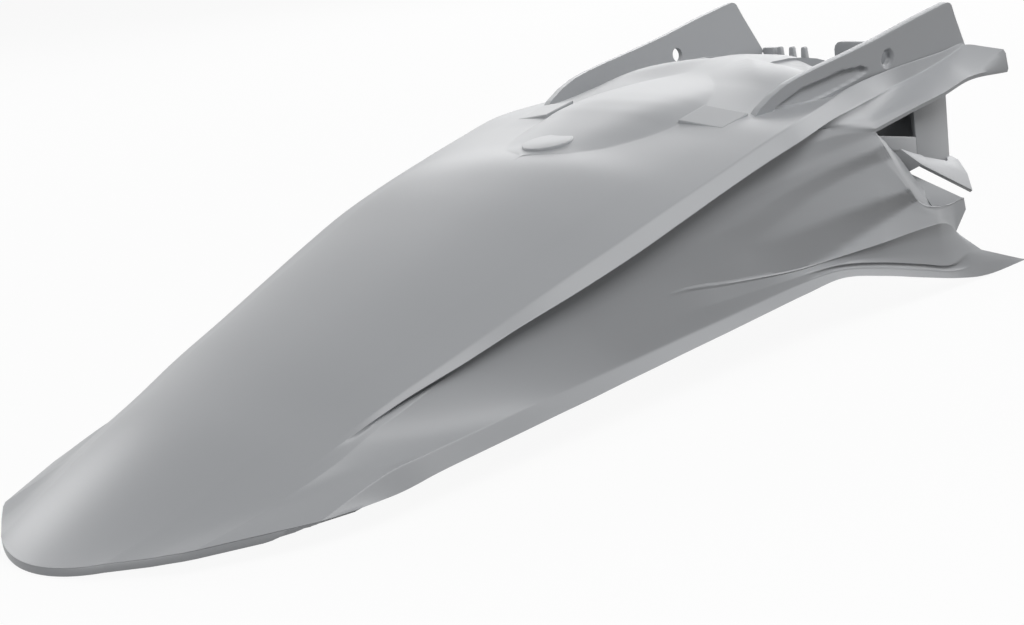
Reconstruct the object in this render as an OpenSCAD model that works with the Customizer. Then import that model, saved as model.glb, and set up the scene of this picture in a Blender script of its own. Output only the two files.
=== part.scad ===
// Rear fender of an off-road motorcycle, one injection-moulded shell.
// Millimetres, +Z up, +Y towards the front of the vehicle, mirror plane at X = 0.
// It stands as it rests on a table, on the tail rim and on both front wings.
// Origin: middle of the footprint, on the table.

/* [Overall] */
// Overall length from tail rim to front tabs
fender_length = 640; // [600:1:700]
// Overall width across the two deck lips
fender_width = 230; // [210:1:250]
// Height of the crown of the dome above the table
dome_height = 141; // [130:1:155]
// Wall thickness of the moulding
wall = 3; // [2.4:0.1:3.6]

/* [Tail rim] */
// Height of the upright rim around the tail
rim_height = 4; // [3:0.5:6]

/* [Leaf bulge] */
// Rise of the leaf-shaped bulge behind the dome
leaf_rise = 7; // [4:0.5:9]
// Diameter of the round flat at the rear of the leaf
disc_diameter = 28; // [20:1:32]
// Diameter of the small hole in the round flat
disc_hole = 4; // [3:0.5:6]

/* [Pads] */
// Side of the two raised square pads
pad_side = 28; // [22:1:32]
// Rise of the pads above the deck
pad_rise = 1.5; // [1:0.5:3]

/* [Ears] */
// Thickness of the two upright ears
ear_wall = 4.2; // [3.4:0.1:5]
// Outward lean of the ears
ear_lean = 6; // [2:0.5:10]
// Bore of the ear bolt holes
ear_bore = 8.5; // [6.5:0.5:10]
// Dish around the bolt hole on the outer face
ear_dish = 12; // [11:0.5:14]

/* [Side openings] */
// Thickness of the side web and its tongue
web_wall = 2.6; // [2.2:0.1:3.2]

/* [Front comb] */
// Width of one finger at its root
finger_width = 7; // [5:0.5:8]
// Height of the fingers above the front edge
finger_height = 20; // [12:1:24]

/* [Underside ribs] */
// Depth of the two lengthwise ribs under the dome
rib_depth = 10; // [6:1:14]
// Thickness of the ribs
rib_wall = 2.4; // [2:0.1:3]

/* [Hidden] */
kx = fender_width / 230;
ky = fender_length / 640;
kz = dome_height / 141;
steps = 3;
crown_parts = 7;
last = 18;
// Column numbers of the half section, from the crown to the lower edge
kb = crown_parts;
kc = kb + 1;
kd = kb + 2;
ke = kb + 3;
ki = kb + 11;
// The side is open between the ledge and the flank from this station on
open_from = 14;

// Guide lines of the right half, tail to front, as X, distance from the tail, height
crown = [[0, 0, 4.5], [0, 34, 20.5], [0, 80, 41.5], [0, 116, 54.5], [0, 150, 67],
    [0, 186, 79], [0, 220, 90], [0, 256, 101], [0, 292, 111.5], [0, 326, 119.5],
    [0, 359, 121.5], [0, 393, 125], [0, 425, 129.5], [0, 466, 136], [0, 510, 141],
    [0, 550, 135], [0, 580, 121.5], [0, 605, 112], [0, 634, 105]];
shoulder = [[40, 11.5, 7.5], [49, 46, 18.5], [55.5, 90, 35.5], [59, 122, 46], [63, 153, 57.5],
    [67, 188, 68.5], [70.5, 221, 79.5], [74.5, 257, 90.5], [79, 292, 101], [80, 326, 109],
    [80, 359, 114], [80, 393, 119.5], [80, 425, 124], [79, 466, 123.5], [78.5, 510, 122],
    [77.5, 550, 121.5], [76, 580, 120], [74, 605, 117.5], [72, 630, 116]];
deck_edge = [[58, 24, 9], [65, 56, 16.5], [74, 98, 30], [79, 126, 39], [84, 155, 49],
    [89, 189, 59.5], [94, 222, 70], [99.5, 257, 81], [105, 293, 91.5], [107, 326, 100],
    [108, 359, 107.5], [108, 393, 115], [107, 425, 121], [99, 466, 121.5], [89, 510, 121],
    [83, 550, 121.5], [80, 580, 122.5], [78, 605, 124.5], [77, 632, 126.5]];
lip = [[64, 28.5, 9.8], [70, 62, 16.8], [78, 101, 29.3], [81.5, 127, 37.6], [86.3, 156, 46.5],
    [93, 190, 55.5], [99.5, 222, 65], [106, 257, 74], [112, 293, 84], [114.2, 326, 92.7],
    [115, 359, 100.7], [115, 393, 108], [114.2, 425, 113.7], [104, 466, 117], [93, 510, 118.6],
    [86, 550, 120], [83.5, 580, 121], [84, 605, 121.5], [88, 640, 121]];
root = [[70, 33, 10.5], [75, 68, 17.3], [82, 105, 28.6], [82.5, 130, 37], [83.5, 157, 45.2],
    [86, 190, 55.5], [89, 222, 66], [93, 257, 76.5], [97, 293, 86.5], [98.5, 326, 95.5],
    [99, 359, 103], [99, 393, 110], [99.5, 425, 114], [102, 466, 112.5], [105, 505, 106.5],
    [105, 540, 108], [103, 570, 111.5], [101, 600, 115.5], [98.5, 640, 112.5]];
flank_top = [[74, 37, 11], [79, 74, 18], [85, 109, 28.2], [85, 134, 36], [86.5, 160, 43.5],
    [88, 192, 53], [91.5, 223, 62.5], [95.5, 257, 72], [99, 293, 80.5], [101, 326, 88],
    [101.5, 359, 95], [101.5, 393, 101], [102, 425, 106], [103.5, 466, 107.5], [103.5, 501, 103.5],
    [102, 518, 79], [101.5, 533, 63], [101.5, 545, 54], [102, 555, 47]];
flank_a = [[78, 41, 11.6], [83, 80, 18.8], [88, 113, 27.8], [88, 140, 35], [90, 166, 41.5],
    [92, 196, 50], [95, 226, 59], [98.5, 258, 68], [101, 293, 75.5], [102.5, 326, 81],
    [103, 359, 86], [103.5, 393, 90.5], [104, 425, 94], [104, 465, 95], [105, 499, 92],
    [105, 519, 71], [105, 537, 57], [104.5, 551, 50.5], [104, 567, 48]];
flank_b = [[82, 45.5, 12.2], [87, 86, 19.6], [91, 118, 27.4], [91, 146, 34], [93, 172, 39.5],
    [95, 200, 47.5], [97.5, 229, 56], [100, 259, 65], [102, 293, 71], [103, 326, 74.5],
    [103.5, 359, 77], [104, 393, 79], [104, 425, 80.5], [104, 464, 80.5], [104.5, 498, 78],
    [104.5, 521, 63], [104.5, 541, 52], [104, 557, 48.5], [103, 580, 49]];
flank_c = [[86, 51, 13], [91, 93, 20.3], [94, 124, 27], [94, 152, 33], [96, 178, 37.5],
    [98, 205, 45], [99.5, 232, 53.5], [101, 260, 62], [102.5, 293, 67.5], [103, 326, 66],
    [103.5, 359, 64.5], [103.5, 393, 63], [104, 425, 62], [104, 463, 61], [104.5, 497, 59],
    [104.5, 524, 53], [104.5, 546, 46.5], [104, 562, 43], [103, 581, 41]];
flank_crease = [[91, 59, 14], [95, 101, 21], [97, 130, 26.4], [97.5, 159, 31.5], [99, 186, 35.5],
    [100.5, 212, 42], [102, 236, 50.5], [102.5, 262, 58.5], [103, 293, 63], [103.5, 326, 57.5],
    [103.5, 359, 52], [104, 393, 47.5], [104, 425, 44], [104.5, 463, 42.5], [104.5, 496, 41.5],
    [104.5, 529, 41], [104.5, 553, 40], [104, 564, 36], [103.5, 569, 31]];
wing_crease = [[97, 70, 15.5], [99.5, 111, 22], [100.5, 139, 25.8], [101, 168, 29],
    [102.5, 195, 31.5], [103, 220, 34.5], [103.5, 244, 39], [104, 269, 44], [104.5, 296, 45.5],
    [104.5, 327, 44.5], [105, 359, 43], [105, 393, 41.5], [105.5, 424, 40.5], [106, 459, 38.5],
    [106.5, 494, 31.5], [107, 528, 22.5], [107.5, 556, 15], [107, 574, 17.5], [106, 589, 16]];
band_top = [[103, 85, 17.5], [104, 124, 23], [104.5, 150, 25], [104.8, 178, 26.3],
    [105, 205, 27.5], [105, 228, 28.3], [105, 252, 29.3], [105, 276, 30.3], [105, 299, 31.2],
    [105, 328, 32.5], [105.3, 359, 33.8], [105.5, 393, 35.3], [106, 423, 36.5], [106.5, 458, 35.5],
    [107.5, 493, 28], [108, 528, 18.5], [108, 560, 10], [107.5, 591, 8], [106.5, 626, 2]];
low_edge = [[108, 103, 19.5], [109.5, 128, 17], [110, 152, 17.5], [110, 180, 18.3],
    [110, 207, 19.5], [110, 230, 20.8], [110, 254, 22], [110, 278, 23.5], [110, 300, 24.7],
    [110, 329, 26.4], [110, 359, 28], [109.5, 393, 29.8], [109.5, 424, 31.5], [109, 457, 32],
    [109.5, 492, 24.5], [109.5, 527, 15], [109, 562, 6], [108, 592, 0.8], [107, 632, 0]];
guides = [crown, shoulder, deck_edge, lip, root, flank_top, flank_a, flank_b, flank_c,
    flank_crease, wing_crease, band_top, low_edge];

// Smooth line through the points of a guide
function blend(a, b, c, d, t) = 0.5 * (2 * b + (c - a) * t + (2 * a - 5 * b + 4 * c - d) * t * t
    + (3 * b - a - 3 * c + d) * t * t * t);
function before(g, i) = i > 0 ? g[i - 1] : 2 * g[0] - g[1];
function after(g, i) = i + 2 <= last ? g[i + 2] : 2 * g[last] - g[last - 1];
function line_at(g, u) = let (i = min(last - 1, floor(u)))
    blend(before(g, i), g[i], g[i + 1], after(g, i), u - i);

// The crown is an arch behind the seat and a flat-topped dome in front of it
function arch(u) = u < 11 ? 2.2 : u < 13 ? 2.2 + 1.6 * (u - 11) : u < 15 ? 5.4 : 5.4 - 0.8 * (u - 15);

// Half width and rise of the leaf-shaped bulge at a distance from the tail
leaf_line = [[333, 0], [343, 22], [360, 36], [384, 45], [406, 49], [430, 43], [446, 29],
    [458, 16], [468, 0]];
function leaf_half(s) = lookup(s, leaf_line);
function leaf_top(s) = leaf_rise * lookup(s, [[333, 0.1], [350, 0.2], [384, 0.6], [420, 1],
    [440, 1], [468, 0.3]]);
function leaf(x, s) = let (w = leaf_half(s))
    abs(x) < w ? leaf_top(s) * sqrt(1 - x * x / (w * w)) : 0;

// The two shallow fans pressed into the flank
function fan(s, h, s0, h0, top, ridge, low) = s <= s0 + 1 ? 0 :
    let (a = atan2(h - h0, s - s0), r = s - s0)
    a > top || a < low ? 0 : a > ridge ? r * (top - a) / (top - ridge) : r * (a - low) / (ridge - low);
function press(s, h) = 0.03 * fan(s, h, 395, 65, 11.5, -0.9, -7)
    + 0.03 * fan(s, h, 452, 43, 7, 1, -4);

// Outer skin of the right half, column k at station u; near the tail the flank is evened out
function crown_point(k, u) = let (t = k / kb, a = line_at(crown, u), b = line_at(shoulder, u),
    x = b[0] * t, s = a[1] + (b[1] - a[1]) * t * t,
    h = b[2] + (a[2] - b[2]) * (1 - pow(t, arch(u)))) [x, s, h + leaf(x, s)];
function even_flank(g, u) = let (f = [0.15, 0.3, 0.46, 0.64, 0.83][g - 6])
    (1 - f) * line_at(flank_top, u) + f * line_at(band_top, u);
function evenness(g, u) = g < 6 || g > 10 ? 0 : max(0, min(1, (10 - u) / 3));
function side_point(k, u) = let (g = k - kb + 1, w = evenness(g, u), q = line_at(guides[g], u),
    p = w > 0 ? (1 - w) * q + w * even_flank(g, u) : q)
    [p[0] + (k > ke + 1 ? press(p[1], p[2]) : 0), p[1], p[2]];
function skin(k, u) = k <= kb ? crown_point(k, u) : side_point(k, u);

// Inner skin: straight under the crown, sideways behind the flank
function turn(u) = u < 2 ? 0 : u < 5 ? (u - 2) / 3 : 1;
function deck_inner(k, u) = let (q = turn(u), b = skin(kb, u), c = skin(kc, u),
    p = skin(k, u), f = k == kc ? 0.2 : 0.4)
    p + q * (b + f * (c - b) - p) + [0, 0, -wall];
function root_inner(u) = let (q = turn(u), p = skin(ke, u), a = max(0, min(1, u - 13)))
    p + [-wall * q, 0, -wall * (1 - q) + (1 - a) * q * 0.6 - a * 0.5 * wall];
function flank_inner(k, u) = let (q = turn(u), p = skin(k, u), f = k >= ki - 1 ? 1 : q)
    p + [-wall * f, 0, -wall * (1 - q) * (k >= ki - 1 ? 0 : 1)];
function inner(k, u) = k <= kb ? skin(k, u) + [0, 0, -wall]
    : k <= kd ? (u > 14 ? skin(k, u) + [-0.4 * wall, 0, -wall] : deck_inner(k, u))
    : k == ke ? root_inner(u) : flank_inner(k, u);

// The rim of the tail drops straight down from the first station and fades out towards the sides
function inward(p) = let (d = [-p[0], 130 - p[1]]) wall * d / norm(d);
function rim_drop(k) = rim_height * max(0.1, min(1, (ki - k) / 6));
function rim_low(k) = let (p = skin(k, 0)) [p[0], p[1], max(0, p[2] - rim_drop(k))];
function rim_in(p, dh) = let (d = inward(p)) [p[0] + d[0], p[1] + d[1], p[2] + dh];

stations = last * steps + 2;
function outer_at(i, k) = i == 0 ? rim_low(k) : skin(k, (i - 1) / steps);
function inner_at(i, k) = i == 0 ? rim_in(rim_low(k), 0)
    : i == 1 ? rim_in(skin(k, 0), -0.6 * wall) : inner(k, (i - 1) / steps);
function place(p) = [p[0] * kx, (p[1] - 320) * ky, p[2] * kz];
function flip(p) = [-p[0], p[1], p[2]];

columns = 2 * ki + 1;
function grid_point(i, j, under) = let (k = abs(j - ki), p = under ? inner_at(i, k) : outer_at(i, k))
    place(j < ki ? flip(p) : p);
function at(i, j, under) = (under ? stations * columns : 0) + i * columns + j;
function kept(i, j) = let (k = j < ki ? ki - j - 1 : j - ki)
    i >= 0 && i < stations - 1 && j >= 0 && j < columns - 1
    && !(k == ke && i > open_from * steps);
function quad(a, b, c, d) = [[a, b, c], [a, c, d]];
function cell(i, j) = !kept(i, j) ? [] : concat(
    quad(at(i, j, false), at(i + 1, j, false), at(i + 1, j + 1, false), at(i, j + 1, false)),
    quad(at(i, j, true), at(i, j + 1, true), at(i + 1, j + 1, true), at(i + 1, j, true)),
    kept(i - 1, j) ? [] : quad(at(i, j, true), at(i, j, false), at(i, j + 1, false), at(i, j + 1, true)),
    kept(i + 1, j) ? [] : quad(at(i + 1, j, false), at(i + 1, j, true), at(i + 1, j + 1, true),
        at(i + 1, j + 1, false)),
    kept(i, j - 1) ? [] : quad(at(i, j, false), at(i, j, true), at(i + 1, j, true), at(i + 1, j, false)),
    kept(i, j + 1) ? [] : quad(at(i, j + 1, true), at(i, j + 1, false), at(i + 1, j + 1, false),
        at(i + 1, j + 1, true)));

// Main shell: deck, dome, lips, flanks and wings in one skin
module shell() {
    polyhedron(
        points = [for (under = [false, true]) for (i = [0:stations - 1]) for (j = [0:columns - 1])
            grid_point(i, j, under)],
        faces = [for (i = [0:stations - 2]) for (j = [0:columns - 2]) each cell(i, j)],
        convexity = 12);
}

// One closed plate between two outlines with the same number of points
module plate(a, b) {
    n = len(a);
    polyhedron(points = concat([for (p = a) place(p)], [for (p = b) place(p)]),
        faces = concat([[for (i = [0:n - 1]) i]], [[for (i = [n - 1:-1:0]) n + i]],
            [for (i = [0:n - 1]) each quad(i, n + i, n + (i + 1) % n, (i + 1) % n)]),
        convexity = 6);
}

module both_sides() {
    children();
    mirror([1, 0, 0]) children();
}

// Upright ears beside the dome, each with a dished bolt hole
ear_outline = [[432, 122.4], [436, 126], [455, 132.5], [470, 136], [487, 139.5], [541, 145.5], [604, 156.6],
    [608, 157.2], [611, 156], [612.6, 153], [629, 128], [629, 122], [605, 119.3], [560, 120], [500, 120.6],
    [466, 122]];
ear_hole = [549, 134.5];
ear_foot = [77, 122];

module in_ear_plane() {
    translate([ear_foot[0] * kx, 0, ear_foot[1] * kz]) rotate([0, ear_lean, 0])
        translate([0, 0, -ear_foot[1] * kz]) children();
}

module ear() {
    in_ear_plane() rotate([90, 0, 90]) translate([0, 0, -ear_wall / 2])
        linear_extrude(ear_wall) polygon([for (p = ear_outline) [(p[0] - 320) * ky, p[1] * kz]]);
}

module ear_cut() {
    in_ear_plane() translate([0, (ear_hole[0] - 320) * ky, ear_hole[1] * kz]) rotate([0, 90, 0]) {
        translate([0, 0, -10]) cylinder(d = ear_bore, h = 20, $fn = 48);
        translate([0, 0, ear_wall / 2 - 1.2]) cylinder(d = ear_dish, h = 6, $fn = 48);
    }
}

// Raised square pads beside the leaf and the round flat at its rear end
module pad() {
    translate([63 * kx, (416 - 320) * ky, 126.6 * kz]) rotate([13, 7, 0])
        translate([-pad_side / 2, -pad_side / 2, -3]) cube([pad_side, pad_side, 3 + pad_rise]);
}

module disc() {
    translate([0, (354 - 320) * ky, 122 * kz]) rotate([5, 0, 0]) translate([0, 0, -3])
        cylinder(d = disc_diameter, h = 4.2, $fn = 64);
}

module disc_cut() {
    translate([0, (354 - 320) * ky, 122 * kz]) rotate([5, 0, 0]) translate([0, 0, -12])
        cylinder(d = disc_hole, h = 24, $fn = 32);
}

// Side web with its window and the tongue that carries on below it
module web() {
    a = [[102.5, 492, 108.5], [82, 600, 120], [82.4, 598, 66], [97.4, 519, 91], [102.5, 492, 98]];
    plate(a, [for (p = a) p + [-web_wall, 0, 0]]);
}

module window() {
    a = [[110, 506, 108], [110, 551, 110], [110, 551.5, 89.5], [110, 506, 99]];
    plate(a, [for (p = a) p + [-40, 0, 0]]);
}

module tongue() {
    a = [[99, 510, 97], [82, 606, 68], [95, 601, 47], [99, 532, 72], [101, 516, 84]];
    plate(a, [for (p = a) p + [-2, -1, -1.4]]);
}

// Small shelf at the foot of the sloping front edge
module shelf() {
    a = [[105.5, 549, 42], [105.5, 575, 45], [84, 565, 54], [90, 530, 63.5], [103, 529, 59]];
    plate([for (p = a) p + [0, 0, -2.4]], a);
}

// Fingers and middle tongue along the front edge
module comb() {
    for (x = [43, 52.5, 62]) translate([x * kx, (631 - 320) * ky, 106 * kz]) rotate([90, 0, 0])
        linear_extrude(3.2) polygon([[-finger_width / 2, -4], [finger_width / 2, -4],
            [1.7, finger_height - 1], [1.2, finger_height], [-1.2, finger_height],
            [-1.7, finger_height - 1]]);
    translate([66 * kx, (628 - 320) * ky, 106 * kz]) cube([8, 4, 19]);
    translate([0, (634 - 320) * ky, 100 * kz]) rotate([90, 0, 0]) linear_extrude(3.2)
        polygon([[-0.5, 0], [21, 0], [21, 24], [18, 28.5], [-0.5, 29]]);
}

// Ribs under the dome, sunk into the inner skin
module rib(x0) {
    n = 8;
    u0 = 9;
    u1 = 16.6;
    pts = [for (i = [0:n - 1]) let (u = u0 + (u1 - u0) * i / (n - 1), k = x0 / 79 * kb,
        a = line_at(crown, u), b = line_at(shoulder, u), t = x0 / b[0])
        [a[1] + (b[1] - a[1]) * t * t, b[2] + (a[2] - b[2]) * (1 - pow(t, arch(u)))]];
    outline = concat([for (p = pts) [(p[0] - 320) * ky, (p[1] - 1.5) * kz]],
        [for (i = [n - 1:-1:0]) [(pts[i][0] - 320) * ky, (pts[i][1] - wall) * kz
            - rib_depth * (i == 0 || i == n - 1 ? 0.15 : 1)]]);
    translate([x0 * kx, 0, 0]) rotate([90, 0, 90]) translate([0, 0, -rib_wall / 2])
        linear_extrude(rib_wall) polygon(outline);
}

// Everything that leaves the mould, before the holes are cut to size
module moulding() {
    shell();
    both_sides() {
        ear();
        pad();
        difference() {
            web();
            window();
        }
        tongue();
        shelf();
        comb();
        rib(30);
    }
    disc();
}

module fender() {
    color([0.6, 0.6, 0.62]) difference() {
        resize([fender_width, fender_length, 0]) moulding();
        both_sides() ear_cut();
        disc_cut();
    }
}

fender();
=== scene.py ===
import bpy
import math
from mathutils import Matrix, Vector


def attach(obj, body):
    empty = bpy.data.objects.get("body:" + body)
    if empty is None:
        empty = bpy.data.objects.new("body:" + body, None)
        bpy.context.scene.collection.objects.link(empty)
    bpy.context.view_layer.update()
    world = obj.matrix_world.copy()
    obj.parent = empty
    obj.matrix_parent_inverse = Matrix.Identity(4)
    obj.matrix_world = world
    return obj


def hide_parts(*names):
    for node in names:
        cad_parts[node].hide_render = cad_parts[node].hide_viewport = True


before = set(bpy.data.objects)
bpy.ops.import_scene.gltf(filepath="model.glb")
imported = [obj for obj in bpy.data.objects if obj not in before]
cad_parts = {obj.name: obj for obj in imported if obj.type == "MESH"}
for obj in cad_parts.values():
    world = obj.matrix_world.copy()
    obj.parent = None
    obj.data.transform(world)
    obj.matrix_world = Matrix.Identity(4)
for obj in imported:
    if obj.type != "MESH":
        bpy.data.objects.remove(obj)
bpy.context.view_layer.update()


# Fender shell: the deck, the dome, the overhanging side lips, the flanks and the wings of the real
# fender are one wall of 3 mm. It starts as a flat double sheet with the side notches cut out, and is
# then pressed to the guide lines of its right half, mirrored for the left half.
WALL = 3.0
LENGTH = 640
# The guide lines run forwards over the stations 0 to LAST; each point is x, distance from the tail and
# height. STEPS sections are drawn from each station to the next one.
LAST = 18
STEPS = 9
CROWN = [(0, 0, 4.5), (0, 34, 20.5), (0, 80, 41.5), (0, 116, 54.5), (0, 150, 67),
         (0, 186, 79), (0, 220, 90), (0, 256, 101), (0, 292, 111.5), (0, 326, 119.5),
         (0, 359, 121.5), (0, 393, 125), (0, 425, 129.5), (0, 466, 136), (0, 510, 141),
         (0, 550, 135), (0, 580, 121.5), (0, 605, 112), (0, 634, 105)]
SHOULDER = [(40, 11.5, 7.5), (49, 46, 18.5), (55.5, 90, 35.5), (59, 122, 46), (63, 153, 57.5),
            (67, 188, 68.5), (70.5, 221, 79.5), (74.5, 257, 90.5), (79, 292, 101), (80, 326, 109),
            (80, 359, 114), (80, 393, 119.5), (80, 425, 124), (79, 466, 123.5), (78.5, 510, 122),
            (77.5, 550, 121.5), (76, 580, 120), (74, 605, 117.5), (72, 630, 116)]
DECK_EDGE = [(58, 24, 9), (65, 56, 16.5), (74, 98, 30), (79, 126, 39), (84, 155, 49),
             (89, 189, 59.5), (94, 222, 70), (99.5, 257, 81), (105, 293, 91.5), (107, 326, 100),
             (108, 359, 107.5), (108, 393, 115), (107, 425, 121), (97, 465, 123.6), (84, 508, 126),
             (80.4, 550, 128), (80.4, 580, 129), (80.3, 602, 129.5), (79.8, 622, 131)]
LIP = [(64, 28.5, 9.8), (70, 62, 16.8), (78, 101, 29.3), (81.5, 127, 37.6), (86.3, 156, 46.5),
       (93, 190, 55.5), (99.5, 222, 65), (106, 257, 74), (112, 293, 84), (114.2, 326, 92.7),
       (114.9, 359, 100.7), (114.9, 393, 108), (114.2, 425, 113.7), (104, 466, 117), (93, 510, 118.6),
       (82.5, 550, 118.4), (81.5, 577, 121), (81, 602, 124.8), (80.5, 623, 129.4)]
ROOT = [(70, 33, 10.5), (75, 68, 17.3), (82, 105, 28.6), (82.5, 130, 37), (83.5, 157, 45.2),
        (86, 190, 55.5), (89, 222, 66), (93, 257, 76.5), (97, 293, 86.5), (98.5, 326, 95.5),
        (99, 359, 103), (99, 393, 110), (99.5, 425, 114), (102, 466, 112), (105, 501, 104.8),
        (104.5, 540, 109.3), (103, 569, 111.8), (101, 600, 115.5), (98.5, 640, 112.5)]
FLANK_TOP = [(74, 37, 11), (79, 74, 18), (85, 109, 28.2), (85, 134, 36), (86.5, 160, 43.5),
             (88, 192, 53), (91.5, 223, 62.5), (95.5, 257, 72), (99, 293, 80.5), (101, 326, 88),
             (101.5, 359, 95), (101.5, 393, 101), (102, 425, 106), (103.5, 466, 107.5),
             (104.5, 501, 103), (104.6, 512.5, 86.5), (104.8, 523, 70.6), (104.6, 533, 58),
             (104, 551, 47.4)]
FLANK_A = [(78, 41, 10.9), (83, 80, 18.8), (88, 113, 27.8), (88, 140, 35), (90, 166, 41.5),
           (92, 196, 50), (95, 226, 59), (98.5, 258, 68), (101, 293, 75.5), (102.5, 326, 81),
           (103, 359, 86), (103.5, 393, 90.5), (104, 425, 94), (104, 465, 95), (105, 499, 92),
           (105, 515, 77), (105, 529, 61), (104.7, 543, 51.5), (104, 566, 48)]
FLANK_B = [(82, 45.5, 10.9), (87, 86, 19.6), (91, 118, 27.4), (91, 146, 34), (93, 172, 39.5),
           (95, 200, 47.5), (97.5, 229, 56), (100, 259, 65), (102, 293, 71), (103, 326, 74.5),
           (103.5, 359, 77), (104, 393, 79), (104, 425, 80.5), (104, 464, 80.5), (104.5, 498, 78),
           (104.7, 518, 66), (104.7, 536, 53.5), (104, 555, 47.5), (103, 580, 48.6)]
FLANK_C = [(86, 51, 11), (91, 93, 20.3), (94, 124, 27), (94, 152, 33), (96, 178, 37.5),
           (98, 205, 45), (99.5, 232, 53.5), (101, 260, 62), (102.5, 293, 67.5), (103, 326, 66),
           (103.5, 359, 64.5), (103.5, 393, 63), (104, 425, 62), (104, 463, 61), (104.5, 497, 59),
           (104.5, 523, 54), (104.5, 545, 46), (104, 561, 42.5), (103, 581, 41.5)]
FLANK_CREASE = [(90.5, 59, 11.2), (95, 101, 21), (97, 130, 26.4), (97.5, 159, 31.5), (99, 186, 35.5),
                (100.5, 212, 42), (102, 236, 50.5), (102.5, 262, 58.5), (103, 293, 63),
                (103.5, 326, 57.5), (103.5, 359, 52), (104, 393, 47.5), (104, 425, 44),
                (104.5, 463, 42.5), (104.5, 496, 41.5), (104.5, 529, 41), (104.5, 553, 40),
                (104, 564, 36), (103.5, 569, 31)]
WING_CREASE = [(96, 70, 11.8), (99.5, 111, 22), (100.5, 139, 25.8), (101, 168, 29),
               (102.5, 195, 31.5), (103, 220, 34.5), (103.5, 244, 39), (104, 269, 44),
               (104.5, 296, 45.5), (104.5, 327, 44.5), (105, 359, 43), (105, 393, 41.5),
               (105.5, 424, 40.5), (106, 459, 38.5), (106.5, 494, 31.5), (107, 528, 22.5),
               (107.5, 556, 15), (107, 574, 17.5), (106, 589, 16)]
BAND_TOP = [(102, 85, 13), (104, 124, 23), (104.5, 150, 25), (104.8, 178, 26.3),
            (105, 205, 27.5), (105, 228, 28.3), (105, 252, 29.3), (105, 276, 30.3),
            (105, 299, 31.2), (105, 328, 32.5), (105.3, 359, 33.8), (105.5, 393, 35.3),
            (106, 423, 36.5), (106.5, 458, 35.5), (107.5, 493, 28), (108, 528, 18.5),
            (108, 560, 10), (107.5, 591, 8), (106.5, 626, 2)]
LOW_EDGE = [(107, 103, 13.6), (109.3, 128, 14.2), (110, 152, 16.6), (110, 180, 18.1),
            (110, 207, 19.5), (110, 230, 20.8), (110, 254, 22), (110, 278, 23.5), (110, 300, 24.7),
            (110, 329, 26.4), (110, 359, 28), (109.5, 393, 29.8), (109.5, 424, 31.5),
            (109, 457, 32), (109.5, 492, 24.5), (109.5, 527, 15), (109, 562, 6), (108, 592, 0.8),
            (107, 632, 0)]
GUIDES = [CROWN, SHOULDER, DECK_EDGE, LIP, ROOT, FLANK_TOP, FLANK_A, FLANK_B, FLANK_C,
          FLANK_CREASE, WING_CREASE, BAND_TOP, LOW_EDGE]
# Places of the guide lines in that list
AT_SHOULDER, AT_EDGE, AT_LIP, AT_ROOT, AT_TOP = 1, 2, 3, 4, 5
AT_FOLD, AT_WING, AT_BAND, AT_LOW = 9, 10, 11, 12
# From NOTCH on, the lines of the ledge and the flank start afresh at the corner of the notch. From
# DOME_FRONT on, the dome falls off to the front, and from TAB on the ledge ends in its tab.
DOME_FRONT, NOTCH, TAB = 13, 14, 17
# How many strips the facet after each guide line is cut into, and the radius that rounds each line
CROWN_STRIPS = 46
STRIPS = [CROWN_STRIPS, 6, 3, 12, 3, 8, 8, 8, 7, 6, 5, 3]
ROUNDING = [0, 0, 0.7, 0.5, 0, 1.0, 0, 0, 0, 0.7, 0.8, 0.6, 0]
ROUNDING_STEPS = (-2.2, -1, 0, 1, 2.2)
# Behind the dome the flank runs evenly from its top down to the band: share of the way at each line
EVEN_SHARE = (0.15, 0.3, 0.46, 0.64, 0.83)
# The leaf, a low mound on the dome: its half width and its height along the fender
LEAF_LINE = [(333, 0), (343, 22), (360, 36), (384, 45), (406, 49), (430, 46), (446, 39), (462, 27),
             (476, 11), (482, 0)]
LEAF_TOP = [(333, 0.3), (350, 1.6), (375, 4.2), (400, 6.2), (415, 6.4), (430, 5.2), (445, 3.3),
            (460, 1.5), (472, 0.4), (482, 0)]
LEAF_STEEPNESS = [(350, 2), (400, 4.5), (440, 4.5), (470, 2.5)]
# The folds pressed into the flank, which fan out towards the front: for each edge its height along
# the fender, and how far it stands out there. They stand out along FOLD_WAY.
FOLDS = [
    ([(356, 91.3), (400, 93.6), (446, 99.2), (490, 101.5)], [(0, 0)]),
    ([(380, 79.4), (422, 86.4), (459, 90.9), (502, 93.3)], [(370, 0), (500, 2.6)]),
    ([(396, 68.9), (441, 80.1), (477, 84.9), (509, 87)], [(0, 0)]),
    ([(394, 64.4), (411, 63.2), (453, 64.7), (493, 65.2), (527, 64.4)],
     [(390, 0), (500, 5.6), (527, 6)]),
    ([(451, 44.9), (464, 47.2), (491, 51.6), (516, 55.9), (533, 58.4)], [(0, 0)]),
    ([(425, 44), (463, 42.5), (496, 41.5), (529, 41), (553, 40), (564, 36), (569, 31)],
     [(440, 0), (500, 5), (552, 5), (569, 1)])]
FOLD_WAY = Vector((1, -1.22, 0.3))
# Narrow beads pressed along the wing's crease and along the fold behind it: their strength
WING_BEAD = [(430, 0), (460, 1), (560, 1), (576, 0)]
FLANK_BEAD = [(322, 0), (345, 0.6), (430, 0.6), (455, 0)]
# Under the end of the lip the ledge is hollowed: depth at each station, as a share of the facet
LEDGE_HOLLOW = [(12.5, 0), (13.3, 0.1), (14.2, 0.1), (16, 0)]
# The tab's swelling, upwards and outwards, over the way from the ear to its outer edge
TAB_UP = [(0, 0), (0.2, 2.6), (0.5, 5.5), (0.85, 9), (0.95, 7), (1, 0)]
TAB_OUT = [(0, 0), (0.5, 0.8), (0.85, 2.4), (1, 0)]
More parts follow.
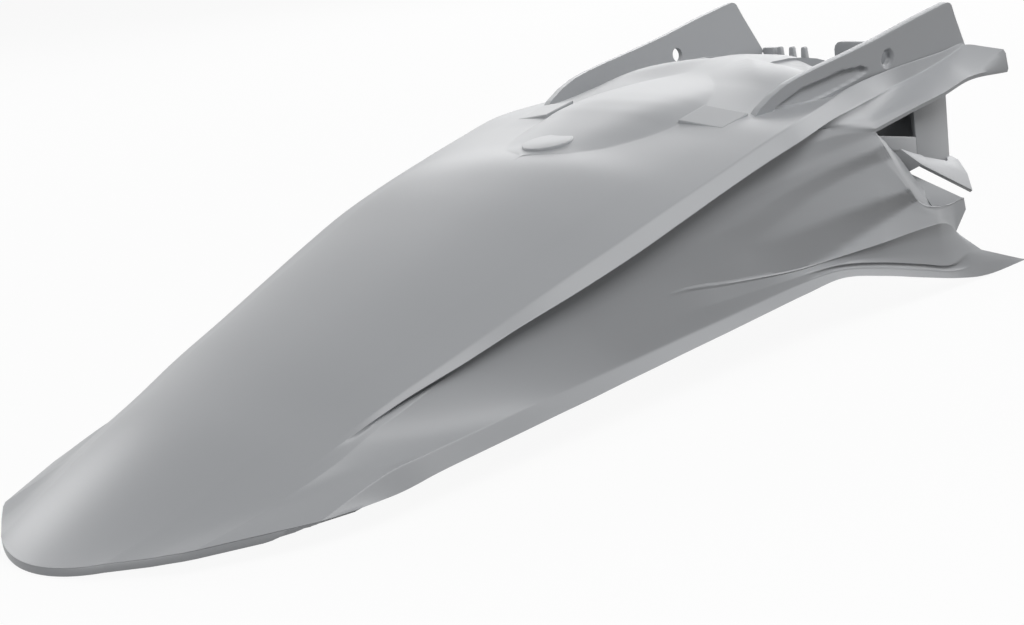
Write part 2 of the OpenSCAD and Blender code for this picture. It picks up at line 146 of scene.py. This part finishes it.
# The tail's rim: rows below the first section, each with its drop and how far it is drawn in towards
# the middle of the tail. The rim thins out over the last columns, where it runs into the low edge.
RIM_ROWS = ((4.0, 0.0), (0.7, 0.0), (0.2, 0.3))
TAIL_MIDDLE = 130
RIM_FADE = 30
BETWEEN_FACES = -0.05


def limited(share):
    return max(0.0, min(1.0, share))


def read_line(line, s):
    """Height of a broken line at s, level before its first point and after its last one."""
    if s <= line[0][0]:
        return line[0][1]
    for (s0, v0), (s1, v1) in zip(line, line[1:]):
        if s <= s1:
            return v0 + (v1 - v0) * (s - s0) / (s1 - s0)
    return line[-1][1]


def on_guide(guide, u):
    """Point of a guide line at station u, on a smooth curve through the line's points."""
    i = min(LAST - 1, int(u))
    t = u - i
    broken = guide in (ROOT, FLANK_TOP, FLANK_A, FLANK_B, FLANK_C)
    b, c = Vector(guide[i]), Vector(guide[i + 1])
    a = Vector(guide[i - 1]) if i > 0 and not (broken and i == NOTCH) else 2 * b - c
    d = Vector(guide[i + 2]) if i + 2 <= LAST and not (broken and i == NOTCH - 1) else 2 * c - b
    return 0.5 * (2 * b + (c - a) * t + (2 * a - 5 * b + 4 * c - d) * t * t
                  + (3 * b - a - 3 * c + d) * t * t * t)


def arch_power(u):
    """How square the arch from shoulder to shoulder is: round on the deck, squarer on the dome."""
    if u < 11:
        return 2.2
    if u < 13:
        return 2.2 + 1.6 * (u - 11)
    return 5.4 if u < 15 else 5.4 - 0.8 * (u - 15)


def leaf_rise(x, s):
    w = read_line(LEAF_LINE, s)
    if abs(x) >= w:
        return 0.0
    return read_line(LEAF_TOP, s) * (1 - abs(x / w) ** read_line(LEAF_STEEPNESS, s)) ** 1.1


def front_drop(x, u):
    """Towards the front the dome falls off earlier at its sides than at its crown."""
    line = [(p[1], p[2]) for p in CROWN]
    s = on_guide(CROWN, u)[1]
    ahead = s + 0.9 * max(0.0, x - 10)
    return limited(u - DOME_FRONT) * (read_line(line, s) - read_line(line, ahead))


def fold_shift(k, f, s, h):
    """How far the folds move a point of the flank, f of the way from guide line k to the next one."""
    edges = [(read_line(line, s), read_line(rise, s)) for line, rise in FOLDS]
    rise = 0.0
    if k == AT_FOLD:
        # below the last fold the wing starts in a groove and comes back to its own plane
        rise = edges[-1][1] * (1 - 3 * f if f < 0.2 else 0.5 * (1 - f))
        rise += 0.7 * max(0.0, f - 0.8) / 0.2 * read_line(WING_BEAD, s)
    elif k == AT_WING:
        # and its crease is a bead with a narrow groove under it
        rise = read_line(WING_BEAD, s) * (0.7 - 7 * f if f < 0.25 else -1.4 * (1 - f))
    elif AT_TOP <= k < AT_FOLD:
        for (h0, r0), (h1, r1) in zip(edges, edges[1:]):
            if h1 <= h < h0:
                rise = r0 + (r1 - r0) * (h0 - h) / (h0 - h1)
    return FOLD_WAY * rise


def crown_split(s):
    """Half width at which the strips of the crown are divided, so that they follow the leaf."""
    w = read_line(LEAF_LINE, s)
    ends = 40 * limited((330 - s) / 60) + 40 * limited((s - 470) / 60)
    return max(1.0, w, ends)


def tab_rise(f):
    """How the ledge swells into the tab at its front end, f of the way out from the ear."""
    return Vector((read_line(TAB_OUT, f), 0, read_line(TAB_UP, f)))


def inner_shifts(p, u):
    """The way from the outer to the inner face of the wall at each guide line of a section."""
    b = p[AT_SHOULDER]
    # from station 2 to 5 the flank's wall turns from level, at the tail, to upright
    q = limited((u - 2) / 3)
    drop = Vector((0, 0, -WALL))
    shift = [drop.copy() for _ in p]
    if u > NOTCH:
        shift[AT_EDGE] = shift[AT_LIP] = Vector((-0.4 * WALL, 0, -WALL))
    else:
        shift[AT_EDGE] = q * (b + 0.2 * (p[AT_EDGE] - b) - p[AT_EDGE]) + drop
        shift[AT_LIP] = q * (b + 0.4 * (p[AT_EDGE] - b) - p[AT_LIP]) + drop
    upright = Vector((-WALL * q, 0, -WALL * (1 - q) + q * 0.6))
    shift[AT_ROOT] = upright.lerp(Vector((-0.9, 0, -2.3)), limited(u - DOME_FRONT))
    for k in range(AT_TOP, AT_BAND):
        shift[k] = Vector((-WALL * q, 0, -WALL * (1 - q)))
    shift[AT_BAND] = shift[AT_LOW] = Vector((-WALL, 0, 0))
    return shift


def rounded_points(p, k, u):
    """Points that round guide line k of a section."""
    c, back, ahead = p[k], p[k - 1] - p[k], p[k + 1] - p[k]
    r = min(ROUNDING[k], 0.4 * back.length / STRIPS[k - 1], 0.4 * ahead.length / STRIPS[k])
    points = []
    for step in ROUNDING_STEPS:
        # the notch has no wall on this side, so its edge stays sharp
        near = 0.05 if k == AT_TOP and step < 0 and u > NOTCH - 0.3 else r
        way = back if step < 0 else ahead
        point = c + way.normalized() * abs(step) * near
        if not step:
            point = c + (back.normalized() + ahead.normalized()) * r * 0.25
        if k == AT_FOLD and abs(step) < 2:
            point.x += read_line(FLANK_BEAD, point.y) * (1 - 0.4 * abs(step))
        if step < 0:
            point += fold_shift(k - 1, 1, point.y, max(point.z, p[k + 1].z))
        else:
            point += fold_shift(k, abs(step) * near / way.length, point.y, point.z)
        points.append(point)
    return points


def section_points(u):
    """Outer and inner points of the right half section at station u, from the crown outwards."""
    p = [on_guide(g, u) for g in GUIDES]
    evenness = limited((10 - u) / 3)
    for k, share in enumerate(EVEN_SHARE, AT_TOP + 1):
        p[k] = p[k].lerp(p[AT_TOP].lerp(p[AT_BAND], share), evenness)
    a, b = p[0], p[AT_SHOULDER]
    outer, inner = [], []
    split = crown_split(a[1] + (b[1] - a[1]) * 0.2)
    half = CROWN_STRIPS // 2
    for i in range(CROWN_STRIPS):
        x = split * i / half if i < half else split + (b[0] - split) * (i - half) / half
        t = x / b[0]
        s = a[1] + (b[1] - a[1]) * t * t
        h = b[2] + (a[2] - front_drop(x, u) - b[2]) * (1 - t ** arch_power(u)) + leaf_rise(x, s)
        outer.append(Vector((x, s, h)))
        inner.append(Vector((x, s, h - WALL)))
    shift = inner_shifts(p, u)
    for k in range(AT_SHOULDER, AT_LOW):
        c, d = p[k], p[k + 1]
        for i in range(STRIPS[k]):
            f = i / STRIPS[k]
            point, move = c.lerp(d, f), shift[k].lerp(shift[k + 1], f)
            if k == AT_LIP:
                depth = (d - c).length * read_line(LEDGE_HOLLOW, u)
                point += Vector((-1, 0, -0.5)) * depth * math.sin(math.pi * min(1.0, f / 0.8))
            if k == AT_LIP and u > TAB:
                point += tab_rise(f) * (u - TAB) ** 1.5
            if i == 0 and ROUNDING[k]:
                points = rounded_points(p, k, u)
            else:
                points = [point + fold_shift(k, f, point.y, point.z)]
            outer += points
            inner += [point + move for point in points]
    outer.append(p[AT_LOW].copy())
    inner.append(p[AT_LOW] + shift[AT_LOW])
    return outer, inner


def to_metres(p, side=1):
    return Vector((side * p[0] / 1000, (p[1] - LENGTH / 2) / 1000, p[2] / 1000))


def inwards(p):
    """Level direction from a point of the tail's rim to the middle of the tail."""
    return Vector((-p[0], TAIL_MIDDLE - p[1], 0)).normalized()


def rim_row(outer, drop, drawn_in):
    """One row of the tail's upright rim, which hangs under the first section."""
    row = []
    for k, p in enumerate(outer):
        fade = max(0.1, min(1, (len(outer) - 1 - k) / RIM_FADE))
        row.append(Vector((p[0], p[1], max(0.0, p[2] - drop * fade))) + inwards(p) * drawn_in)
    return row


def double_sheet(sheet, name):
    """Doubles a flat sheet to a thin plate, whose two faces lie above and below BETWEEN_FACES."""
    plate = sheet.modifiers.new(name, "SOLIDIFY")
    plate.thickness = 0.1
    plate.offset = -1
    bpy.ops.object.modifier_apply(modifier=plate.name)


sections = [section_points(i / STEPS) for i in range(LAST * STEPS + 1)]
rim = [rim_row(sections[0][0], drop, drawn_in) for drop, drawn_in in RIM_ROWS]
outside = rim + [outer for outer, inner in sections]
inside = [[p + inwards(p) * WALL for p in row] for row in rim] + [inner for outer, inner in sections]
# behind the rim the first section's inner face keeps clear of the rim's own wall
first_section = len(rim)
inside[first_section] = [p + inwards(p) * WALL + Vector((0, 0, -0.6 * WALL))
                         for p in outside[first_section]]
across = len(outside[0]) - 1
along = len(outside) - 1
# the columns from the root of the lip to the top of the flank, which are cut out beside the notch;
# a rounded guide line adds columns
added = len(ROUNDING_STEPS) - 1
root_column = CROWN_STRIPS + STRIPS[AT_SHOULDER] + added + STRIPS[AT_EDGE] + added + STRIPS[AT_LIP]
flank_column = root_column + STRIPS[AT_ROOT]

bpy.ops.object.select_all(action="DESELECT")
bpy.ops.mesh.primitive_grid_add(x_subdivisions=2 * across, y_subdivisions=along, size=2)
shell = bpy.context.active_object
shell.name = "fender_shell"
bpy.ops.object.mode_set(mode="EDIT")
bpy.ops.mesh.select_all(action="DESELECT")
bpy.ops.object.mode_set(mode="OBJECT")
for face in shell.data.polygons:
    column = abs(face.center.x) * across
    row = (face.center.y + 1) / 2 * along
    face.select = root_column < column < flank_column and row > first_section + NOTCH * STEPS
bpy.ops.object.mode_set(mode="EDIT")
bpy.ops.mesh.delete(type="FACE")
bpy.ops.object.mode_set(mode="OBJECT")
double_sheet(shell, "wall")
for v in shell.data.vertices:
    side = -1 if v.co.x < 0 else 1
    column = round(abs(v.co.x) * across)
    row = round((v.co.y + 1) / 2 * along)
    rows = outside if v.co.z > BETWEEN_FACES else inside
    v.co = to_metres(rows[row][column], side)
bpy.ops.object.shade_smooth_by_angle(angle=math.radians(42))


# Polypropylene: the whole fender is injection moulded in one grey, coloured right through. The mould
# leaves a satin skin, which shows broad soft highlights and hardly any grain.
def linear_colour(code):
    channels = [int(code[i:i + 2], 16) / 255 for i in (1, 3, 5)]
    return [c / 12.92 if c <= 0.04045 else ((c + 0.055) / 1.055) ** 2.4 for c in channels] + [1]


def add_node(tree, kind, values=None, links=None, **settings):
    node = tree.nodes.new(kind)
    for name, value in settings.items():
        setattr(node, name, value)
    for socket, value in (values or {}).items():
        node.inputs[socket].default_value = value
    for socket, source in (links or {}).items():
        tree.links.new(source, node.inputs[socket])
    return node


polypropylene = bpy.data.materials.new("injection_moulded_polypropylene")
polypropylene.use_nodes = True
tree = polypropylene.node_tree
tree.nodes.clear()
place = add_node(tree, "ShaderNodeTexCoord")
# the eroded steel of the mould has a grain of about 0.3 mm, drawn at 0.8 mm so that it shows
grain = add_node(tree, "ShaderNodeTexNoise", {"Scale": 1250.0, "Detail": 2.0, "Roughness": 0.5},
                 {"Vector": place.outputs["Object"]})
relief = add_node(tree, "ShaderNodeBump", {"Strength": 0.05, "Distance": 0.0001},
                  {"Height": grain.outputs["Fac"]})
skin = add_node(tree, "ShaderNodeBsdfPrincipled",
                {"Base Color": linear_colour("#A9ABAE"), "Roughness": 0.38, "IOR": 1.49},
                {"Normal": relief.outputs["Normal"]})
add_node(tree, "ShaderNodeOutputMaterial", None, {"Surface": skin.outputs["BSDF"]})


def settle(piece):
    """Every piece is part of the one moulding: it has its material and stands for the same solid."""
    piece.data.materials.append(polypropylene)
    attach(piece, "root")
    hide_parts("fender")


settle(shell)


# Upright ears: two plates moulded beside the dome, each with a dished hole for the bolt that holds
# the fender to the subframe. The rear half of the outer face is hollowed to a long pocket.
SIDES = ((1, "right"), (-1, "left"))
EAR_WALL = 4.2
# Where its foot stands and how it leans out; its rear end, and how long it is at the foot and on top
EAR_X, EAR_H, EAR_LEAN = 77, 122, math.radians(6)
EAR_REAR, EAR_FOOT_LENGTH, EAR_TOP_LENGTH = 432, 197, 180.3
EAR_GRID = (26, 132)
EAR_TOP = [(432, 125), (436, 128), (447, 133.2), (458, 136.8), (470, 139), (487, 141.2), (514, 144.2),
           (541, 147.6), (575, 153), (599, 156.2), (604, 156.8), (607, 157), (609.5, 156.2),
           (611.3, 154.4), (612.3, 151.5)]
EAR_FOOT = [(432, 122), (450, 122), (500, 120.3), (560, 119.6), (605, 119.3), (629, 122)]
# The hole for the 8 mm bolt and the dish round it
EAR_HOLE = (549, 134.5)
HOLE_RADIUS, DISH_RADIUS, DISH_DEPTH = 0.00425, 0.0062, 0.0016
POCKET_REAR, POCKET_FRONT = 446, 530.5
POCKET_TOP = [(445, 124.6), (455, 128), (472, 132.6), (508, 135.5), (525, 134.6), (531, 132)]
POCKET_LOW = [(445, 124.4), (463, 121.6), (494, 124.4), (520, 128), (531, 130.5)]


def pocket_depth(s, h):
    """Depth of the pocket, whose floor slants in from its lower edge to its deep upper edge."""
    if not POCKET_REAR < s < POCKET_FRONT:
        return 0.0
    top, low = read_line(POCKET_TOP, s), read_line(POCKET_LOW, s)
    if not low < h < top:
        return 0.0
    across = (h - low) / (top - low)
    walls = min(1.0, (top - h) / 1.2, (POCKET_FRONT - s) / 3, (s - POCKET_REAR) / 6, (h - low) / 0.5)
    return (1.0 + 2.2 * across) * walls


def shape_ear(ear, side):
    """Moves the plate's points to the ear: t runs forwards along it, and f from its foot up."""
    for v in ear.data.vertices:
        t = (v.co.y + 1) / 2
        f = (1 - v.co.x) / 2
        foot_s = EAR_REAR + EAR_FOOT_LENGTH * t
        top_s = EAR_REAR + EAR_TOP_LENGTH * t
        foot, top = read_line(EAR_FOOT, foot_s), read_line(EAR_TOP, top_s)
        s, h = foot_s + (top_s - foot_s) * f, foot + (top - foot) * f
        up = h - EAR_H
        if v.co.z > BETWEEN_FACES:
            x = 0.5 * EAR_WALL - pocket_depth(s, h)
        else:
            x = -0.5 * EAR_WALL
        v.co = to_metres((EAR_X + x * math.cos(EAR_LEAN) + up * math.sin(EAR_LEAN), s,
                          EAR_H - x * math.sin(EAR_LEAN) + up * math.cos(EAR_LEAN)), side)


def turn_faces_out():
    bpy.ops.object.mode_set(mode="EDIT")
    bpy.ops.mesh.select_all(action="SELECT")
    bpy.ops.mesh.normals_make_consistent(inside=False)
    bpy.ops.object.mode_set(mode="OBJECT")


def cut_out(piece, cutter):
    bpy.ops.object.select_all(action="DESELECT")
    piece.select_set(True)
    bpy.context.view_layer.objects.active = piece
    cut = piece.modifiers.new("hole", "BOOLEAN")
    cut.operation = "DIFFERENCE"
    cut.solver = "EXACT"
    cut.object = cutter
    bpy.ops.object.modifier_apply(modifier=cut.name)
    bpy.data.objects.remove(cutter)


def soften(piece, width, segments, from_degrees):
    """Rounds the edges that are sharper than from_degrees."""
    edge = piece.modifiers.new("soft edges", "BEVEL")
    edge.width = width
    edge.segments = segments
    edge.limit_method = "ANGLE"
    edge.angle_limit = math.radians(from_degrees)
    bpy.ops.object.modifier_apply(modifier=edge.name)


for side, word in SIDES:
    bpy.ops.object.select_all(action="DESELECT")
    bpy.ops.mesh.primitive_grid_add(x_subdivisions=EAR_GRID[0], y_subdivisions=EAR_GRID[1], size=2)
    ear = bpy.context.active_object
    ear.name = "ear_" + word
    double_sheet(ear, "plate")
    shape_ear(ear, side)
    turn_faces_out()
    centre = to_metres((EAR_X + (EAR_HOLE[1] - EAR_H) * math.sin(EAR_LEAN), *EAR_HOLE), side)
    outward = Vector((math.cos(EAR_LEAN) * side, 0, -math.sin(EAR_LEAN)))
    turn = (0, math.radians(90) + side * EAR_LEAN, 0)
    bpy.ops.object.select_all(action="DESELECT")
    bpy.ops.mesh.primitive_cylinder_add(vertices=48, radius=HOLE_RADIUS, depth=0.02)
    drill = bpy.context.active_object
    drill.rotation_euler = turn
    drill.location = centre
    cut_out(ear, drill)
    # the dish widens outwards, from 1.3 mm below the outer face to just above it
    radii = (HOLE_RADIUS, DISH_RADIUS) if side > 0 else (DISH_RADIUS, HOLE_RADIUS)
    bpy.ops.object.select_all(action="DESELECT")
    bpy.ops.mesh.primitive_cone_add(vertices=48, radius1=radii[0], radius2=radii[1],
                                    depth=DISH_DEPTH)
    countersink = bpy.context.active_object
    countersink.rotation_euler = turn
    countersink.location = centre + outward * (EAR_WALL / 2000 - 0.0005)
    cut_out(ear, countersink)
    soften(ear, 0.0006, 2, 50)
    bpy.ops.object.shade_smooth_by_angle(angle=math.radians(40))
    settle(ear)


# Flat plates moulded on: each side has a web with a window under the ledge, a tongue that slants out
# below it and a small shelf at the foot of the notch. Each is an outline drawn through a thickness.
PLATE_EDGE = 0.0005


def make_plate(name, near, far, side, soft=PLATE_EDGE):
    """A plate between two outlines of the same number of corners, with its edges softened."""
    bpy.ops.object.select_all(action="DESELECT")
    bpy.ops.mesh.primitive_circle_add(vertices=len(near), radius=1, fill_type="NGON")
    plate = bpy.context.active_object
    plate.name = name
    for v, p in zip(plate.data.vertices, near):
        v.co = to_metres(p, side)
    bpy.ops.object.mode_set(mode="EDIT")
    bpy.ops.mesh.select_all(action="SELECT")
    bpy.ops.mesh.extrude_region_move(TRANSFORM_OT_translate={"value": (0, 0, 0)})
    bpy.ops.object.mode_set(mode="OBJECT")
    # the extruded corners still lie on the near ones, and each moves to its own far corner
    for v in [v for v in plate.data.vertices if v.select]:
        i = min(range(len(near)), key=lambda n: (to_metres(near[n], side) - v.co).length)
        v.co = to_metres(far[i], side)
    turn_faces_out()
    if soft:
        soften(plate, soft, 2, 40)
    bpy.ops.object.shade_smooth_by_angle(angle=math.radians(35))
    return plate


def shifted(outline, by):
    return [(p[0] + by[0], p[1] + by[1], p[2] + by[2]) for p in outline]


# the web is a frame round its window: a strip in front of it and a strip below it
WEB_FRONT = [(93.7, 551, 111.5), (82, 600, 119), (82.4, 598, 64), (94, 551.5, 77.5), (94, 551.5, 89.5)]
WEB_BELOW = [(101.5, 500, 101), (94, 551.5, 89.5), (94, 551.5, 77.5), (97.4, 519, 89.5), (102, 500, 98)]
TONGUE = [(95.8, 524, 93), (99.5, 547.6, 74.6), (97.2, 597.6, 48.6), (87.1, 608.1, 55.8),
          (80.5, 609.2, 63.9), (81.1, 598, 69.6), (86.1, 590.5, 67.3), (92.4, 561, 76.1),
          (94.1, 540.8, 85.5)]
# the flank's front edge is turned in along the notch; behind it a short wall carries the tongue
EDGE_STRIP = [(104.4, 501.4, 102.4), (104.4, 509, 91.2), (104.5, 520, 75), (104.4, 533, 58),
              (103.8, 549.5, 47.9), (98, 561.3, 46.6), (97, 551.5, 58.8), (96, 542.1, 70.2),
              (96, 534.6, 79), (96, 525, 89.5)]
CORNER = [(96.5, 522.5, 93.4), (96, 524, 89.6), (95, 540.5, 71.5), (99.3, 548, 74.3)]
SHELF = [(103.8, 551, 47.2), (103.4, 580, 48.3), (92, 551, 66.6), (92, 543.6, 71.1), (97, 548.5, 59.5)]
INNER_WALL = [(80, 520, 84), (80, 592, 84), (80, 592, 118), (80, 520, 118)]
for side, word in SIDES:
    settle(make_plate("web_front_" + word, WEB_FRONT, shifted(WEB_FRONT, (-2.6, 0, 0)), side))
    settle(make_plate("web_below_" + word, WEB_BELOW, shifted(WEB_BELOW, (-2.6, 0, 0)), side))
    settle(make_plate("tongue_" + word, TONGUE, shifted(TONGUE, (-1.6, -0.7, -1.2)), side))
    settle(make_plate("notch_edge_" + word, EDGE_STRIP, shifted(EDGE_STRIP, (-1.6, -1, -0.7)), side))
    settle(make_plate("tongue_foot_" + word, CORNER, shifted(CORNER, (-2, 0, 0)), side))
    settle(make_plate("shelf_" + word, SHELF, shifted(SHELF, (-2, 0, -1.2)), side))
    settle(make_plate("inner_wall_" + word, INNER_WALL, shifted(INNER_WALL, (-2.4, 0, 0)), side))


# Front comb: fingers, a block and a rounded middle tongue stand up from the front edge, moulded on,
# where the fender hooks under the seat base.
for side, word in SIDES:
    for number, x in enumerate((43, 52.5, 62)):
        half = [(4.2, 104), (3.9, 113), (2.2, 118), (1.6, 124.5), (1.1, 125.6)]
        finger = [(x + w, 628, h) for w, h in half] + [(x - w, 628, h) for w, h in reversed(half)]
        settle(make_plate("finger_%s_%d" % (word, number), finger, shifted(finger, (0, 3.2, 0)), side))
    block = [(66, 628, 106), (75, 628, 106), (75, 628, 125), (66, 628, 125)]
    settle(make_plate("block_" + word, block, shifted(block, (0, 4, 0)), side))
tongue_edge = [(21, 631, 100), (21, 631, 124), (20.2, 631, 126.4), (18.3, 631, 128.2), (16, 631, 128.8)]
middle = tongue_edge + [(-p[0], p[1], p[2]) for p in reversed(tongue_edge)]
settle(make_plate("middle_tongue", middle, shifted(middle, (0, 3.2, 0)), 1))


# Raised square pads for the seat's feet, and the round flat at the tail end of the leaf. They are
# raised steps in the mould, a millimetre or so high, with rounded edges.
def round_off(piece):
    soften(piece, 0.0006, 3, 40)
    bpy.ops.object.shade_smooth_by_angle(angle=math.radians(35))


PAD = [(49, 404, 127.2), (76, 408, 122.9), (76, 430, 126.6), (49, 427, 131)]
for side, word in SIDES:
    pad = make_plate("pad_" + word, PAD, shifted(PAD, (0, 0, -4)), side, 0)
    round_off(pad)
    settle(pad)
bpy.ops.object.select_all(action="DESELECT")
bpy.ops.mesh.primitive_cylinder_add(vertices=96, radius=0.014, depth=0.0042,
                                    location=(0, 0.034, 0.122), rotation=(math.radians(5), 0, 0))
disc = bpy.context.active_object
disc.name = "round_flat"
bpy.ops.object.transform_apply(location=True, rotation=True, scale=True)
round_off(disc)
settle(disc)


# Underside ribs: two thin ribs run lengthwise under the dome and stiffen it. They are of the same
# plastic, moulded in one with the wall, and stand 10 mm down from it, less towards their ends.
RIB_X, RIB_WALL, RIB_DEPTH = 30, 2.4, 10
RIB_START, RIB_STATIONS, RIB_PARTS = 9, 7.6, 23
for side, word in SIDES:
    upper, lower = [], []
    for i in range(RIB_PARTS + 1):
        u = RIB_START + RIB_STATIONS * i / RIB_PARTS
        a, b = on_guide(CROWN, u), on_guide(SHOULDER, u)
        t = RIB_X / b[0]
        s, h = a[1] + (b[1] - a[1]) * t * t, b[2] + (a[2] - b[2]) * (1 - t ** arch_power(u))
        depth = RIB_DEPTH * min(1.0, 0.15 + i / 4, 0.15 + (RIB_PARTS - i) / 4)
        upper.append((RIB_X - RIB_WALL / 2, s, h - WALL / 2))
        lower.append((RIB_X - RIB_WALL / 2, s, h - WALL - depth))
    rib = upper + list(reversed(lower))
    settle(make_plate("rib_" + word, rib, shifted(rib, (RIB_WALL, 0, 0)), side, 0))


# Floor and backdrop: a white paper sheet that keeps the fender's soft shadow and runs into a white
# room. Both are white to the camera and in reflections, and light the fender hardly at all.
def seen_or_mirrored(tree):
    """1 for rays from the camera, reflections and transmission, and 0 for the rays that light things."""
    rays = add_node(tree, "ShaderNodeLightPath")
    seen = add_node(tree, "ShaderNodeMath", None, {0: rays.outputs["Is Camera Ray"],
                    1: rays.outputs["Is Glossy Ray"]}, operation="MAXIMUM")
    seen = add_node(tree, "ShaderNodeMath", None, {0: seen.outputs[0],
                    1: rays.outputs["Is Transmission Ray"]}, operation="MAXIMUM")
    return seen.outputs[0]


bpy.ops.object.select_all(action="DESELECT")
bpy.ops.mesh.primitive_plane_add(size=12, location=(0, 0, 0))
floor = bpy.context.active_object
floor.name = "floor"
paper = bpy.data.materials.new("white_backdrop_paper")
paper.use_nodes = True
tree = paper.node_tree
tree.nodes.clear()
seen = seen_or_mirrored(tree)
shade = add_node(tree, "ShaderNodeMix", {6: linear_colour("#6E6E6E"), 7: linear_colour("#F4F4F4")},
                 {0: seen}, data_type="RGBA")
matt = add_node(tree, "ShaderNodeBsdfDiffuse", None, {"Color": shade.outputs[2]})
glow = add_node(tree, "ShaderNodeEmission", {"Color": (1, 1, 1, 1), "Strength": 1.0})
# the paper glows by itself but for a small share, which keeps the shadow
share = add_node(tree, "ShaderNodeMath", {1: 0.93}, {0: seen}, operation="MULTIPLY")
mixed = add_node(tree, "ShaderNodeMixShader", None,
                 {0: share.outputs[0], 1: matt.outputs[0], 2: glow.outputs[0]})
add_node(tree, "ShaderNodeOutputMaterial", None, {"Surface": mixed.outputs[0]})
floor.data.materials.append(paper)

world = bpy.data.worlds.new("white_room")
bpy.context.scene.world = world
world.use_nodes = True
tree = world.node_tree
tree.nodes.clear()
seen = seen_or_mirrored(tree)
room = add_node(tree, "ShaderNodeBackground", {"Color": (1, 1, 1, 1), "Strength": 0.04})
white = add_node(tree, "ShaderNodeBackground", {"Color": (1, 1, 1, 1), "Strength": 1.0})
mixed = add_node(tree, "ShaderNodeMixShader", None,
                 {0: seen, 1: room.outputs[0], 2: white.outputs[0]})
add_node(tree, "ShaderNodeOutputWorld", None, {"Surface": mixed.outputs[0]})


# Studio light: soft boxes all round, the strongest high on the right, so that the deck, which
# slopes to the tail, stays half dark, and a wide one in front, which brightens the edges of the notch.
AIM = Vector((0, 0, 0.05))
SOFTBOXES = (("right_softbox", (1.286, 0, 1.58), (0.8, 0.8), 14.5),
             ("key_softbox", (0.909, 0.909, 1.58), (0.8, 0.8), 8.5),
             ("front_softbox", (0, 1.88, 0.73), (2.6, 1.2), 16),
             ("far_softbox", (-1.33, 1.33, 0.73), (0.8, 0.8), 3.5),
             ("left_softbox", (-1.88, -0.2, 0.73), (0.8, 0.8), 9.5),
             ("tail_softbox", (0, -1.88, 0.73), (0.8, 0.8), 11))
for name, place, size, watts in SOFTBOXES:
    lamp = bpy.data.lights.new(name, "AREA")
    lamp.shape = "RECTANGLE"
    lamp.size, lamp.size_y = size
    lamp.energy = watts
    box = bpy.data.objects.new(name, lamp)
    bpy.context.collection.objects.link(box)
    box.location = place
    box.rotation_euler = (AIM - Vector(place)).to_track_quat("-Z", "Y").to_euler()


# Camera: behind the tail, above it and to its right, as in the photograph, with the lens that gives
# the photograph's foreshortening. Nothing is out of focus.
eye = bpy.data.cameras.new("camera")
eye.sensor_width = 36
eye.lens = 84.8
camera = bpy.data.objects.new("camera", eye)
bpy.context.collection.objects.link(camera)
camera.location = (0.899, -0.86144, 0.34141)
camera.rotation_euler = [math.radians(a) for a in (76.249, 6.7467, 44.817)]
bpy.context.scene.camera = camera
bpy.context.scene.view_settings.view_transform = "Standard"
